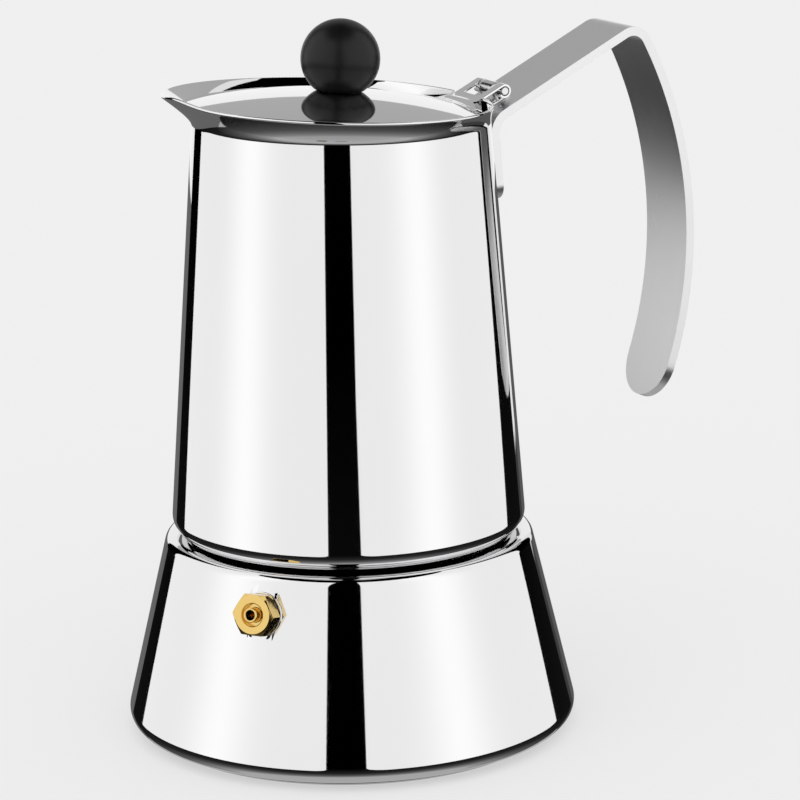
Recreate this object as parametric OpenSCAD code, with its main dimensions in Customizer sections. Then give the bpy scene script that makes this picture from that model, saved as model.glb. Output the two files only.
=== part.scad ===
// Stove-top espresso maker in sheet steel: boiler, funnel, collector, lid and strap handle.
// Z is up, the handle is at +X, the spout at -X, and the origin is the middle of the foot.

/* [Boiler] */
// Widest diameter of the boiler, just above the foot
foot_d = 110; // [90:1:132]
// Rounding of the foot
foot_r = 3.8; // [3.2:0.1:6]
// Height of the foot's lowest edge over the base cap's face
foot_lift = 1.4; // [1:0.1:2]
// Diameter where the boiler's wall meets its rounded shoulder
shoulder_d = 90.2; // [84:0.2:96]
// Height where the wall meets the shoulder
shoulder_h = 47.02; // [44:0.02:66]
// Rounding of the shoulder
shoulder_r = 2.6; // [2:0.1:4]
// Thickness of the sheet
wall = 0.8; // [0.6:0.1:1.2]
// Thickness of the aluminium heat disc
disc_t = 2.4; // [1.8:0.1:3.2]
// Thickness of the base cap's sheet
cap_t = 0.6; // [0.4:0.1:0.8]

/* [Screw joint] */
// Outer diameter of the boiler's neck
neck_d = 70; // [58:0.5:74]
// Height of the neck above the shoulder
neck_len = 8.7; // [8.7:0.1:12]
// Depth of the thread, as radial room between neck and skirt
thread_t = 1; // [0.8:0.1:1.2]
// Rise in one turn
pitch = 3.2; // [2.5:0.1:4]
// Thickness of the neck and of the skirt
ring_t = 1.2; // [1:0.1:1.6]
// Thickness of the rubber ring
gasket_t = 3.4; // [3:0.1:5]

/* [Collector] */
// Diameter of the collector at its foot
collector_d = 86.9; // [82:0.1:90]
// Rounding of the collector's foot
collector_r = 4.5; // [3:0.1:5]
// Height of the collector up to the flare
collector_h = 98.2; // [79:0.1:114]
// Diameter where the flare starts
throat_d = 71.8; // [60:0.2:86]
// Height from the flare's start to the rim at the hinge
rim_h = 5.3; // [4.5:0.1:7]
// Extra height of the rim at the spout
rim_rise = 3.66; // [2:0.02:5]
// Reach of the flare past the throat at the spout
flare_reach = 6.8; // [5:0.1:8]
// Height of the pouring lip
lip_h = 1.2; // [0.6:0.1:2]
// Height of the riser tube above the collector's floor
riser_h = 46; // [36:1:56]

/* [Funnel] */
// Depth of the coffee basket
basket_h = 19; // [14:0.5:22]
// Gap between the stem's end and the boiler's floor
stem_gap = 3.3; // [2:0.1:6]
// Diameter of the stem
stem_d = 8.4; // [7:0.1:10]
// Diameter of one perforation
hole_d = 2; // [1.4:0.1:2.4]
// Rings of perforations
hole_rings = 5; // [3:1:6]

/* [Handle] */
// Width of the strap
strap_w = 19; // [16:0.5:22]
// Thickness of the strap
strap_t = 2.2; // [1.6:0.1:3]
// Slope of the strap's upper arm
strap_rise = 26.6; // [20:0.2:32]
// Length of the strap's leg below the flare
leg_len = 19.7; // [12:0.1:30]
// Rounding of the lower end's corners
leg_r = 4; // [2:0.5:8]
// Centre-line radius of the bend beside the rim
rim_bend_r = 5.1; // [4:0.1:8]
// Centre-line radius of the bend at the top
top_bend_r = 4.4; // [3.5:0.1:8]
// Centre-line radius of the grip
grip_r = 103.9; // [90:0.5:130]
// Distance of the grip's outer face from the axis
grip_reach = 93; // [88:0.5:105]
// Drop from the flare's start to the grip's widest point
mid_drop = 33.5; // [26:0.5:42]
// Drop from the flare's start to the grip's lower tip
tip_drop = 75.5; // [62:0.5:84]

/* [Lid] */
// How much wider the lid is than the collector at the flare's start, which it stands over
lid_over = -0.4; // [-4:0.1:1]
// Height of the lid's dome
lid_rise = 4.05; // [3:0.05:6]
// Slope of the lid, up towards the spout
lid_tilt = 3.8; // [2:0.1:4.5]
// Thickness of the lid's sheet
lid_t = 0.6; // [0.5:0.1:0.8]
// Diameter of the ball knob
knob_d = 19; // [16:0.5:24]
// Diameter of the knob's flat foot
knob_foot_d = 11.3; // [9:0.1:13]
// Diameter of the hinge pin
pin_d = 2; // [1.6:0.1:2.4]
// Width of the hinge tab
tab_w = 13.4; // [12:0.2:16]
// Width of the window in the tab
window_w = 8; // [6:0.2:9]

/* [Safety valve] */
// Height of the valve
valve_h = 40; // [30:0.5:42]
// Direction of the valve, turned from the handle
valve_az = 217.5; // [200:0.5:240]
// Width of the hexagon across its flats
hex_af = 9.5; // [8.5:0.1:11]
// Length of the hexagon
hex_len = 4; // [3:0.1:5]
// Diameter of the pin
valve_pin_d = 3.5; // [3:0.1:3.8]
// Travel of the pin when the valve blows
valve_travel = 1.5; // [1:0.1:2]

/* [Hidden] */
$fn = 96;

slack = 0.1;      // faces of different bodies that lie over each other
fit = 0.05;       // radial room of a pin in its bore
free = 0.3;       // room between parts that turn past each other
past = 1;         // how far a cut runs past the face it opens

// Boiler: its foot is an arc, its wall the tangent from the arc to the shoulder
foot_c = [foot_d / 2 - foot_r, foot_lift + foot_r];
shoulder_p = [shoulder_d / 2, shoulder_h];
to_shoulder = shoulder_p - foot_c;
cap_inset = 1.3;   // how far the base cap's edge lies inside the foot's lowest circle
boiler_a = atan2(to_shoulder[1], to_shoulder[0]) - acos(foot_r / norm(to_shoulder));
shoulder_c = shoulder_p - shoulder_r * [cos(boiler_a), sin(boiler_a)];
parting_h = shoulder_c[1] + shoulder_r;
cap_r = foot_c[0] - cap_inset;
cap_edge = 0.5;
floor_under = cap_t + disc_t + slack + free;
floor_top = floor_under + wall;

// Screw joint: the neck stands in the skirt, and the gasket seals on the funnel's flange
neck_r = neck_d / 2;
neck_root = 3;     // how far the neck reaches down inside the shoulder
neck_top = parting_h + neck_len;
skirt_r = neck_r + thread_t;
skirt_out = skirt_r + ring_t;
flange_top = neck_top + wall;
gasket_h = flange_top + slack;
gasket_r = skirt_r - free;
gasket_w = 7.2;
gasket_in = gasket_r - gasket_w;
gasket_lip = 4.2;  // width of the rubber outside the filter it holds
filter_t = 0.6;
filter_r = gasket_r - gasket_lip;
filter_h = gasket_h + gasket_t - filter_t - 2 * slack;
seat_h = gasket_h + gasket_t + slack;

// Funnel: the basket hangs in the neck, its cone ends in a collar round the stem
basket_r = neck_r - ring_t - 0.8;
basket_under = neck_top - basket_h;
plate_ledge = 2.5;
solid_rim = 3;    // plain rim round a plate's perforations
cone_foot = basket_under - 6.5;
collar_r = 2;
collar_h = 1;
stem_r = stem_d / 2;
stem_lap = 2;
tube_t = 0.6;

// Collector: a cone on a rounded foot
foot_h = parting_h + free;
throat_h = foot_h + collector_h;
collector_a = atan((collector_d - throat_d) / 2 / collector_h);
collector_c = [collector_d / 2 - collector_r * tan(collector_a) - collector_r / cos(collector_a),
    foot_h + collector_r];
rim_back_h = throat_h + rim_h;
rim_back_r = throat_d / 2 - rim_h * tan(collector_a) - free;
flare_steps = 8;
flare_proud = 0.1;  // how far the flare's skin stands over the cone it closes on
flare_lap = 0.5;    // how far it laps down over the cone
flare_sides = 72;
riser_r = 6;
riser_top_r = 4.5;
riser_foot = seat_h + wall + 5;
riser_top = seat_h + riser_h;
cap_skirt = 7.5;

// Lid: a dome about the knob's axis, cut round about a centre nearer the spout
lid_r = (throat_d + lid_over) / 2;
lid_inset = 2.5;
lid_back = throat_d / 2 - lid_inset;
lid_cx = lid_back - lid_r;
lid_x = -0.7;
lid_z = rim_back_h - 0.1;
dome_r = (lid_r * lid_r + lid_rise * lid_rise) / (2 * lid_rise);
knob_r = knob_d / 2;
knob_foot_r = knob_foot_d / 2;
knob_mid = lid_rise + sqrt(knob_r * knob_r - knob_foot_r * knob_foot_r);
screw_r = 2;
screw_len = 8;
insert_r = 3.2;
washer_t = 0.6;

// Hinge: the pin lies over the strap, behind the rim
tab_t = 0.7;
pin_r = pin_d / 2;
eye_in = pin_r + fit;
eye_r = eye_in + tab_t;
pin_out = 7.5;
pin_up = 1.2;
pin_p = [lid_back + pin_out, rim_back_h + pin_up];
pin_over_strap = eye_r + 1;
tab_foot = [lid_back + slack, rim_back_h - 0.5];
tab_dir = atan2(pin_p[1] - tab_foot[1], pin_p[0] - tab_foot[0]) + asin(eye_r / norm(pin_p - tab_foot));
tab_len = sqrt(pow(norm(pin_p - tab_foot), 2) - eye_r * eye_r);
notch_h = rim_back_h - 3.2;
notch_w = tab_w + 1.4;

// Strap: its centre line is a leg on the collector, an arm, and the grip's arc
half_t = strap_t / 2;
saddle = 0.5;
leg_n = [cos(collector_a), sin(collector_a)];
arm_n = [-sin(strap_rise), cos(strap_rise)];
arm_d = [cos(strap_rise), sin(strap_rise)];
leg_k = leg_n * [throat_d / 2, throat_h] - saddle + half_t;
arm_k = arm_n * pin_p - pin_over_strap - half_t;
rim_bend_c = cross_point(leg_n, leg_k + rim_bend_r, arm_n, arm_k - rim_bend_r);
grip_c = [grip_reach - half_t - grip_r, throat_h - mid_drop];
top_bend_c = on_circle(arm_n * (arm_k - top_bend_r), arm_d, grip_c, grip_r - top_bend_r);
grip_start = atan2(top_bend_c[1] - grip_c[1], top_bend_c[0] - grip_c[0]);
grip_end = asin((mid_drop - tip_drop) / grip_r);
leg_end = throat_h - leg_len;

// Safety valve, in its own frame with Z outwards from the wall
seal_t = 0.6;
boss_t = 0.25;
shank_r = 3.2;
shank_len = 8.5;
chamber_r = 2.65;
guide_t = 1.2;
seat_t = 1.2;
hex_foot = boss_t + seal_t;
hex_top = hex_foot + hex_len;
guide_top = hex_top - 1.6;
chamber_top = guide_top - guide_t;
seat_top = -shank_len + seat_t;
valve_pin_r = valve_pin_d / 2;
head_t = 0.9;
spring_turns = 6;
spring_wire = 0.2;
spring_r = (valve_pin_r + chamber_r) / 2;
nut_t = 2.6;

// Points of a circular arc, n steps from angle a to angle b
function arc(c, r, a, b, n = 6) =
    [for (i = [0:n]) c + r * [cos(a + (b - a) * i / n), sin(a + (b - a) * i / n)]];
// The point p with m.p = j and n.p = k
function cross_point(m, j, n, k) =
    let (det = m[0] * n[1] - m[1] * n[0]) [j * n[1] - k * m[1], k * m[0] - j * n[0]] / det;
// Where a line from p along d leaves the circle of centre c and radius r
function on_circle(p, d, c, r) =
    let (b = d * (p - c), e = (p - c) * (p - c) - r * r) p + (-b + sqrt(b * b - e)) * d;
// Radius of the boiler's wall at height z, inset from its outer face
function boiler_r(z, inset = 0) =
    foot_c[0] + (foot_r - inset - (z - foot_c[1]) * sin(boiler_a)) / cos(boiler_a);
// Radius of the collector's wall at height z, inset from its outer face
function collector_wall(z, inset = 0) =
    collector_d / 2 - (z - foot_h) * tan(collector_a) - inset / cos(collector_a);
// Share of the flare's reach at angle t from the spout
function flare_share(t) = (1 + cos(180 * pow(t / 180, 1.65))) / 2;
// Radius and height of the rim at angle t from the spout
function rim_radius(t) =
    rim_back_r + (throat_d / 2 + flare_reach - rim_back_r) * flare_share(t);
function rim_height(t) = rim_back_h + rim_rise * pow((1 + cos(t)) / 2, 1.54);
function lip_height(t) = lip_h * exp(-pow(t / 14, 2));
// A point of the lid's middle section at x, sunk by a share of the sheet's thickness
function lid_point(x, depth) =
    let (u = x - lid_x, v = lid_rise - dome_r + sqrt(dome_r * dome_r - u * u) - depth * lid_t)
    [x, lid_z - u * sin(lid_tilt) + v * cos(lid_tilt)];
// A point of the flare's skin: t from the spout, s from the throat up, inset from the outer face
function flare_point(t, s, inset) =
    let (a = abs(t),
        lean = 1.5 * pow(s, 0.5) * (rim_radius(a) - throat_d / 2) / (rim_height(a) - throat_h),
        r = throat_d / 2 + (rim_radius(a) - throat_d / 2) * pow(s, 1.5) - inset * norm([1, lean]),
        up = (rim_height(a) - throat_h) * s + lip_height(a) * pow(s, 6))
    [-r * cos(t), -r * sin(t), throat_h + up - flare_lap * pow(1 - s, 4)];

// A sheet ring or cup turned from its outline
module turned(points) { rotate_extrude() polygon(points); }
// A straight bore or rod along Y through a point of the XZ plane
module across(p, r, w) { translate([p[0], w / 2, p[1]]) rotate([90, 0, 0]) cylinder(h = w, r = r); }
// An outline in the XZ plane, as wide as w along Y
module slab(points, w) { translate([0, w / 2, 0]) rotate([90, 0, 0]) linear_extrude(w) polygon(points); }
// Places its children in the lid's frame
module at_lid() { translate([lid_x, 0, lid_z]) rotate([0, lid_tilt, 0]) children(); }
// Places its children in the valve's frame
module at_valve() {
    rotate([0, 0, valve_az])
        translate([boiler_r(valve_h), 0, valve_h])
            rotate([0, 90 - boiler_a, 0]) children();
}
// Hexagon with two corners level, chamfered at its top
module hexagon(af, len, chamfer) {
    intersection() {
        rotate(30) cylinder(h = len, r = af / 2 / cos(30), $fn = 6);
        turned([[0, 0], [af, 0], [af, len - chamfer - (af - af / 2) * tan(30)],
            [af / 2 - 0.3, len], [0, len]]);
    }
}
// Perforated disc: rings of holes about the middle one
module perforated(r, t, reach) {
    difference() {
        cylinder(h = t, r = r);
        for (ring = [1:hole_rings], i = [0:6 * ring - 1])
            rotate(360 * i / (6 * ring)) translate([reach * ring / hole_rings, 0, -past])
                cylinder(h = t + 2 * past, d = hole_d, $fn = 24);
        translate([0, 0, -past]) cylinder(h = t + 2 * past, d = hole_d, $fn = 24);
    }
}
// Takes the two corners off a strap's end, whose foot is the frame's origin and whose face is along X
module end_round(w, r) {
    for (side = [-1, 1]) translate([0, side * (w / 2 - r), r]) difference() {
        translate([-strap_t, min(0, side * (r + past)), -r - past])
            cube([2 * strap_t, r + past, r + past]);
        rotate([0, 90, 0]) cylinder(h = 6 * strap_t, r = r, center = true);
    }
}

module boiler_shell() {
    inner_r = foot_r - wall;
    floor_a = -asin(min(1, (foot_c[1] - floor_top) / inner_r));
    color("gainsboro") difference() {
        union() {
            turned(concat(
                [[0, floor_under], [cap_r + slack, floor_under], [cap_r + slack, foot_lift]],
                arc(foot_c, foot_r, -90, boiler_a, 10),
                arc(shoulder_c, shoulder_r, boiler_a, 90),
                [[neck_r, parting_h], [neck_r, parting_h - wall]],
                arc(shoulder_c, shoulder_r - wall, 90, boiler_a),
                arc(foot_c, inner_r, boiler_a, floor_a),
                [[0, floor_top]]));
            at_valve() translate([0, 0, -wall / 2]) cylinder(h = wall / 2 + boss_t, d = hex_af + 1);
        }
        at_valve() translate([0, 0, -shank_len]) cylinder(h = 2 * shank_len, r = shank_r + slack);
    }
}
module boiler_neck() {
    color("silver") turned([
        [neck_r - ring_t, parting_h - neck_root], [neck_r, parting_h - neck_root],
        [neck_r, neck_top], [neck_r - ring_t, neck_top]]);
}
module heat_disc() {
    color("darkgray") translate([0, 0, cap_t]) cylinder(h = disc_t, r = cap_r - cap_t - slack);
}
module base_cap() {
    top = floor_under - slack;
    color("silver") turned([
        [0, 0], [cap_r - cap_edge, 0], [cap_r, cap_edge], [cap_r, top],
        [cap_r - cap_t, top], [cap_r - cap_t, cap_t], [0, cap_t]]);
}

module valve_body() {
    color("goldenrod") at_valve() difference() {
        union() {
            translate([0, 0, hex_foot]) hexagon(hex_af, hex_len, 0.2);
            translate([0, 0, -shank_len]) cylinder(h = shank_len + hex_foot + past, r = shank_r);
        }
        translate([0, 0, guide_top]) cylinder(h = hex_len, r = chamber_r);
        translate([0, 0, chamber_top - past]) cylinder(h = hex_len, r = valve_pin_r + fit);
        translate([0, 0, -shank_len - past])
            cylinder(h = shank_len + past + chamber_top, r = chamber_r);
    }
}
module valve_seal() {
    color("dimgray") at_valve() translate([0, 0, boss_t]) difference() {
        cylinder(h = seal_t, d = hex_af - 0.4);
        translate([0, 0, -past]) cylinder(h = seal_t + 2 * past, r = shank_r + slack);
    }
}
module valve_washer() {
    color("silver") at_valve() translate([0, 0, -wall - free - seal_t]) difference() {
        cylinder(h = seal_t, d = hex_af);
        translate([0, 0, -past]) cylinder(h = seal_t + 2 * past, r = shank_r + slack);
    }
}
module valve_nut() {
    under = -wall - free - seal_t - slack / 2;
    color("goldenrod") at_valve() translate([0, 0, under - nut_t]) difference() {
        hexagon(hex_af - 0.5, nut_t, 0.2);
        translate([0, 0, -past]) cylinder(h = nut_t + 2 * past, r = shank_r + fit);
    }
}
module valve_seat() {
    color("darkgoldenrod") at_valve() translate([0, 0, -shank_len]) difference() {
        cylinder(h = seat_t, r = chamber_r - fit);
        translate([0, 0, -past]) cylinder(h = seat_t + 2 * past, r = 1.1);
    }
}
// The spring's wire is swept round the pin, between the pin's head and the guide
module valve_spring() {
    steps = 16 * spring_turns;
    sides = 6;
    low = seat_top + head_t + spring_wire + 2 * slack;
    rise = chamber_top - slack - spring_wire - low;
    points = [for (i = [0:steps], k = [0:sides - 1])
        let (turn = 360 * spring_turns * i / steps, w = 360 * k / sides,
            r = spring_r + spring_wire * cos(w))
        [r * cos(turn), r * sin(turn), low + rise * i / steps + spring_wire * sin(w)]];
    ends = [[for (k = [0:sides - 1]) k], [for (k = [sides - 1:-1:0]) steps * sides + k]];
    walls = [for (i = [0:steps - 1], k = [0:sides - 1])
        let (n = (k + 1) % sides) [i * sides + k, (i + 1) * sides + k, (i + 1) * sides + n, i * sides + n]];
    color("lightsteelblue") at_valve() polyhedron(points, concat(ends, walls), convexity = 8);
}
module valve_pin() {
    color("gold") at_valve() translate([0, 0, seat_top + slack]) difference() {
        union() {
            cylinder(h = head_t, r = chamber_r - 2 * fit);
            cylinder(h = hex_top + 0.9 - seat_top, r = valve_pin_r);
        }
        translate([0, 0, head_t + 1]) cylinder(h = shank_len + hex_top, r = valve_pin_r * 0.66);
    }
}

module funnel_cup() {
    flange_r = neck_r - 0.5;
    color("silver") turned([
        [stem_r, cone_foot], [stem_r + collar_r, cone_foot + collar_h],
        [basket_r - plate_ledge, basket_under], [basket_r, basket_under],
        [basket_r, neck_top], [flange_r, neck_top], [flange_r, flange_top],
        [basket_r - wall, flange_top], [basket_r - wall, basket_under + wall],
        [basket_r - plate_ledge - 0.3, basket_under + wall],
        [stem_r + collar_r - 0.2, cone_foot + collar_h + wall], [stem_r, cone_foot + wall]]);
}
module funnel_stem() {
    low = floor_top + stem_gap;
    color("silver") translate([0, 0, low]) difference() {
        cylinder(h = cone_foot + stem_lap - low, r = stem_r);
        translate([0, 0, -past]) cylinder(h = basket_under, r = stem_r - tube_t);
    }
}
module funnel_plate() {
    color("lightgray") translate([0, 0, basket_under + wall])
        perforated(basket_r - wall - slack, filter_t, basket_r - plate_ledge - solid_rim);
}

module gasket() {
    color("whitesmoke") turned([
        [gasket_in, gasket_h], [gasket_r, gasket_h], [gasket_r, gasket_h + gasket_t],
        [filter_r + free, gasket_h + gasket_t], [filter_r + free, filter_h - slack],
        [gasket_in, filter_h - slack]]);
}
module upper_filter() {
    color("lightgray") translate([0, 0, filter_h]) perforated(filter_r, filter_t, gasket_in - solid_rim);
}

// The flare is a skin between an outer and an inner face, closed at the rim and at the throat
module flare() {
    rows = 2 * (flare_steps + 1);
    points = [for (j = [0:rows - 1], i = [0:flare_sides - 1])
        let (t = 360 * i / flare_sides, u = t > 180 ? t - 360 : t, out = j <= flare_steps,
            s = (out ? j : rows - 1 - j) / flare_steps)
        flare_point(u, s, out ? -flare_proud : wall + flare_proud)];
    faces = [for (j = [0:rows - 1], i = [0:flare_sides - 1])
        let (n = (i + 1) % flare_sides, m = (j + 1) % rows, a = j * flare_sides, b = m * flare_sides)
        each [[a + i, b + i, a + n], [a + n, b + i, b + n]]];
    polyhedron(points, faces, convexity = 6);
}
module collector_shell() {
    color("gainsboro") difference() {
        union() {
            turned(concat(
                [[skirt_out, foot_h]],
                arc(collector_c, collector_r, -90, collector_a, 8),
                [[throat_d / 2, throat_h], [throat_d / 2 - wall, throat_h]],
                arc(collector_c, collector_r - wall, collector_a, -90, 8),
                [[skirt_out, foot_h + wall]]));
            flare();
        }
        translate([lid_back - 4, -notch_w / 2, notch_h]) cube([12, notch_w, rim_h]);
    }
}
module collector_ring() {
    color("silver") turned([
        [skirt_r, foot_h], [skirt_out, foot_h], [skirt_out, seat_h], [skirt_r, seat_h]]);
}
module collector_floor() {
    color("silver") turned([
        [skirt_out, seat_h], [skirt_out, seat_h + wall], [filter_r - 1, seat_h + wall],
        [riser_r, riser_foot + wall], [riser_r, riser_foot], [filter_r - 1.5, seat_h]]);
}
module riser_tube() {
    color("silver") difference() {
        turned([
            [riser_r - wall, riser_foot - 1], [riser_r, riser_foot - 1], [riser_top_r, riser_top - 8],
            [riser_top_r, riser_top], [riser_top_r - wall, riser_top],
            [riser_top_r - wall, riser_top - 8]]);
        for (side = [-1, 1]) translate([side * riser_top_r - 2.5, -1.8, riser_top - 6]) cube([5, 3.6, 4]);
    }
}
module riser_cap() {
    color("gainsboro") turned([
        [0, riser_top + slack / 2], [riser_top_r + 0.02, riser_top + slack / 2],
        [riser_top_r + 0.02, riser_top - 1.6], [riser_top_r + wall, riser_top - 1.6],
        [riser_top_r + wall, riser_top], [cap_skirt - wall, riser_top - 2.4], [cap_skirt, riser_top - 2],
        [cap_skirt - 1.2, riser_top + 1.2], [riser_top_r - 1, riser_top + 2.4], [0, riser_top + 2.8]]);
}

// Outline of the bent strap seen from its side
function strap_side(out) =
    let (h = out ? half_t : -half_t, turn = 180 + collector_a, up = 90 + strap_rise)
    concat(
        [cross_point(leg_n, leg_k - h, [0, 1], leg_end)],
        arc(rim_bend_c, rim_bend_r + h, turn, up, 8),
        arc(top_bend_c, top_bend_r + h, up, grip_start, 10),
        arc(grip_c, grip_r + h, grip_start, grip_end, 24));
function backwards(list) = [for (i = [len(list) - 1:-1:0]) list[i]];
module handle() {
    tip = grip_c + grip_r * [cos(grip_end), sin(grip_end)];
    color("silver") difference() {
        slab(concat(strap_side(true), backwards(strap_side(false))), strap_w);
        translate([tip[0], 0, tip[1]]) rotate([0, -grip_end - atan(strap_w / 4 / grip_r), 0])
            end_round(strap_w, strap_w / 2);
        translate([collector_wall(leg_end) + half_t, 0, leg_end]) rotate([0, -collector_a, 0])
            end_round(strap_w, leg_r);
        translate([0, 0, foot_h])
            cylinder(h = collector_h, r1 = collector_d / 2 + 0.02, r2 = throat_d / 2 + 0.02);
    }
}

// Sheet leaf on the strap, folded up and rolled round the hinge pin
module hinge_bracket() {
    root = pin_p - pin_over_strap * arm_n;
    under = root - (eye_r - tab_t) * arm_d;
    color("lightgray") difference() {
        union() {
            across(pin_p, eye_r, window_w - 2 * free);
            slab([root - 3.8 * arm_d, root + 2 * arm_d, root + 2 * arm_d + tab_t * arm_n,
                root - 3.8 * arm_d + tab_t * arm_n], window_w - 2 * free);
            slab([under - tab_t * arm_d, under, pin_p - (eye_r - tab_t) * arm_d, pin_p - eye_r * arm_d],
                window_w - 2 * free);
        }
        across(pin_p, eye_in, strap_w);
    }
}
module hinge_pin() { color("gainsboro") across(pin_p, pin_r, tab_w + 0.2); }

module lid() {
    along = [cos(tab_dir), sin(tab_dir)];
    over = [-sin(tab_dir), cos(tab_dir)];
    dome_c = [0, lid_rise - dome_r];
    edge_a = acos((lid_r + 4) / dome_r);
    hole_a = acos((screw_r + slack) / dome_r);
    bend = tab_foot + tab_t * (1 - sin(tab_dir)) / cos(tab_dir) * along - tab_t * over;
    leaf_x = lid_back - 3.2;
    color("gainsboro") difference() {
        union() {
            at_lid() intersection() {
                turned(concat(arc(dome_c, dome_r, edge_a, hole_a, 12),
                    arc(dome_c, dome_r - lid_t, hole_a, edge_a, 12)));
                translate([lid_cx, 0, -lid_rise]) cylinder(h = 3 * lid_rise, r = lid_r);
            }
            slab([lid_point(leaf_x, 1.3), lid_point(bend[0], 1.3), bend,
                tab_foot + tab_len * along - tab_t * over, tab_foot + tab_len * along, tab_foot,
                lid_point(tab_foot[0], 0.5), lid_point(leaf_x, 0.5)], tab_w);
            across(pin_p, eye_r, tab_w);
        }
        across(pin_p, eye_in, strap_w);
        slab([tab_foot + 1.9 * along - over, tab_foot + 1.9 * along + over,
            tab_foot + (tab_len + 5) * along + over, tab_foot + (tab_len + 5) * along - 6 * over,
            tab_foot + 3 * along - 6 * over, tab_foot + 1.9 * along - 2 * over], window_w);
    }
}
module knob() {
    color([0.07, 0.07, 0.08]) at_lid() difference() {
        intersection() {
            translate([0, 0, knob_mid]) sphere(knob_r);
            translate([-knob_r, -knob_r, lid_rise]) cube([knob_d, knob_d, knob_d]);
        }
        translate([0, 0, lid_rise - past]) cylinder(h = screw_len + 1 + past, r = insert_r);
    }
}
module knob_insert() {
    color("goldenrod") at_lid() translate([0, 0, lid_rise]) difference() {
        cylinder(h = screw_len, r = insert_r);
        translate([0, 0, -past]) cylinder(h = screw_len + 2 * past, r = screw_r + fit);
    }
}
module knob_screw() {
    under = lid_rise - lid_t - washer_t - slack;
    color("silver") at_lid() difference() {
        union() {
            translate([0, 0, under]) cylinder(h = screw_len - past + lid_rise - under, r = screw_r);
            translate([0, 0, under - 2.2]) cylinder(h = 2.2, r1 = 2.8, r2 = 3.6);
        }
        translate([-4, -0.5, under - 2.2 - past]) cube([8, 1, past + 1]);
    }
}
module knob_washer() {
    color("silver") at_lid() translate([0, 0, lid_rise - lid_t - washer_t - slack]) difference() {
        cylinder(h = washer_t, r = 4.6);
        translate([0, 0, -past]) cylinder(h = washer_t + 2 * past, r = screw_r + slack);
    }
}

boiler_shell();
boiler_neck();
heat_disc();
base_cap();
valve_body();
valve_seal();
valve_washer();
valve_nut();
valve_seat();
valve_spring();
valve_pin();
funnel_cup();
funnel_stem();
funnel_plate();
gasket();
upper_filter();
collector_shell();
collector_ring();
collector_floor();
riser_tube();
riser_cap();
handle();
hinge_bracket();
hinge_pin();
lid();
knob();
knob_insert();
knob_screw();
knob_washer();
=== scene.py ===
# Stove-top espresso maker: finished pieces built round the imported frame.
# Sizes in the dictionaries are in millimetres. Z is up, the handle is at +X and the spout at -X.
import math

import bmesh
import bpy
import numpy as np
from mathutils import Matrix, Vector, kdtree


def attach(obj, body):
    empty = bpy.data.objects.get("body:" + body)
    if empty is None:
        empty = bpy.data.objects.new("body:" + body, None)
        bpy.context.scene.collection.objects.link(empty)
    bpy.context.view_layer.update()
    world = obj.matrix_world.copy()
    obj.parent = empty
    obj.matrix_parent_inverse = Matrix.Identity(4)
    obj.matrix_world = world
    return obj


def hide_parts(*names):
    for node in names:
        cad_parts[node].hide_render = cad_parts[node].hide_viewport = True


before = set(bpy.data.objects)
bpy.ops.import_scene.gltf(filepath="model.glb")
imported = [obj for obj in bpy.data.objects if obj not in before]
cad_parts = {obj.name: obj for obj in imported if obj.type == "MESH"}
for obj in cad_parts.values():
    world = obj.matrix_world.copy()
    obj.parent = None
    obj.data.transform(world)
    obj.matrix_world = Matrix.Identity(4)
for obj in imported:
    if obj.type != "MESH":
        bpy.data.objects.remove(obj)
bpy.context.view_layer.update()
scene = bpy.context.scene
scene.view_settings.view_transform = "Standard"
mm = 0.001
print("frame loaded,", len(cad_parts), "nodes")


# ---- node graphs, for finishes and for geometry
class Wire:
    # a socket that can be used in sums: each operator adds its Math node
    def __init__(self, graph, socket):
        self.graph = graph
        self.socket = socket

    def maths(self, operation, *values):
        return self.graph.add("ShaderNodeMath", {"operation": operation}, dict(enumerate(values)))

    def __add__(self, other):
        return self.maths("ADD", self, other)

    def __sub__(self, other):
        return self.maths("SUBTRACT", self, other)

    def __mul__(self, other):
        return self.maths("MULTIPLY", self, other)

    def __truediv__(self, other):
        return self.maths("DIVIDE", self, other)

    def __gt__(self, other):
        return self.maths("GREATER_THAN", self, other)

    def __lt__(self, other):
        return self.maths("LESS_THAN", self, other)

    def __rsub__(self, other):
        return self.maths("SUBTRACT", other, self)

    def __rtruediv__(self, other):
        return self.maths("DIVIDE", other, self)

    __radd__ = __add__
    __rmul__ = __mul__

    def sin(self):
        return self.maths("SINE", self)

    def cos(self):
        return self.maths("COSINE", self)

    def sqrt(self):
        return self.maths("SQRT", self)

    def ceil(self):
        return self.maths("CEIL", self)

    def clamp(self, low, high):
        return self.maths("MINIMUM", self.maths("MAXIMUM", self, low), high)


class Graph:
    def __init__(self, tree):
        self.tree = tree

    def add(self, kind, settings=None, inputs=None, output=0):
        # one node: its settings go first, then the values or wires of its sockets
        node = self.tree.nodes.new(kind)
        for name, value in (settings or {}).items():
            setattr(node, name, value)
        for name, value in (inputs or {}).items():
            if isinstance(value, Wire):
                self.tree.links.new(value.socket, node.inputs[name])
            else:
                node.inputs[name].default_value = value
        return Wire(self, node.outputs[output] if node.outputs else None)

    def also(self, wire, output):
        return Wire(self, wire.socket.node.outputs[output])


def newMaterial(name):
    material = bpy.data.materials.new(name)
    material.use_nodes = True
    material.node_tree.nodes.clear()
    return material, Graph(material.node_tree)


def mixed(graph, factor, first, second):
    # a blend of two colours
    return graph.add("ShaderNodeMix", {"data_type": "RGBA"}, {0: factor, 6: first, 7: second}, 2)


def shade(colour, by):
    return (*[min(1, c * by) for c in colour], 1)


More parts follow.
